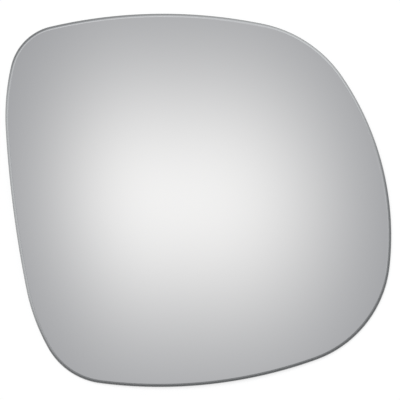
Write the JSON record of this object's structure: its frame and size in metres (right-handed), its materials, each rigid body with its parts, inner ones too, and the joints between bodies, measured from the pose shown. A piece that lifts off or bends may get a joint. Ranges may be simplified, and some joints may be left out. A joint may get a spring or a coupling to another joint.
{
  "type": "car door mirror glass",
  "caption": "Convex door mirror glass with a bowed, nearly square outline, rounded corners and a ground, bevelled edge.",
  "frame": {"origin": "under the middle of the outline's overall width and height, on the surface that the glass rests on", "axes": "+Z out of the reflecting face, +X to the right and +Y up on the glass as a driver looks at it"},
  "size_m": [0.175, 0.1692, 0.0056],
  "materials": {
    "mirror_glass": "bright silvered face, fine-ground grey-green glass edge, flat dark grey protective paint on the back"
  },
  "bodies": {
    "root": {"mirror_glass": "mirror_glass"}
  },
  "joints": []
}
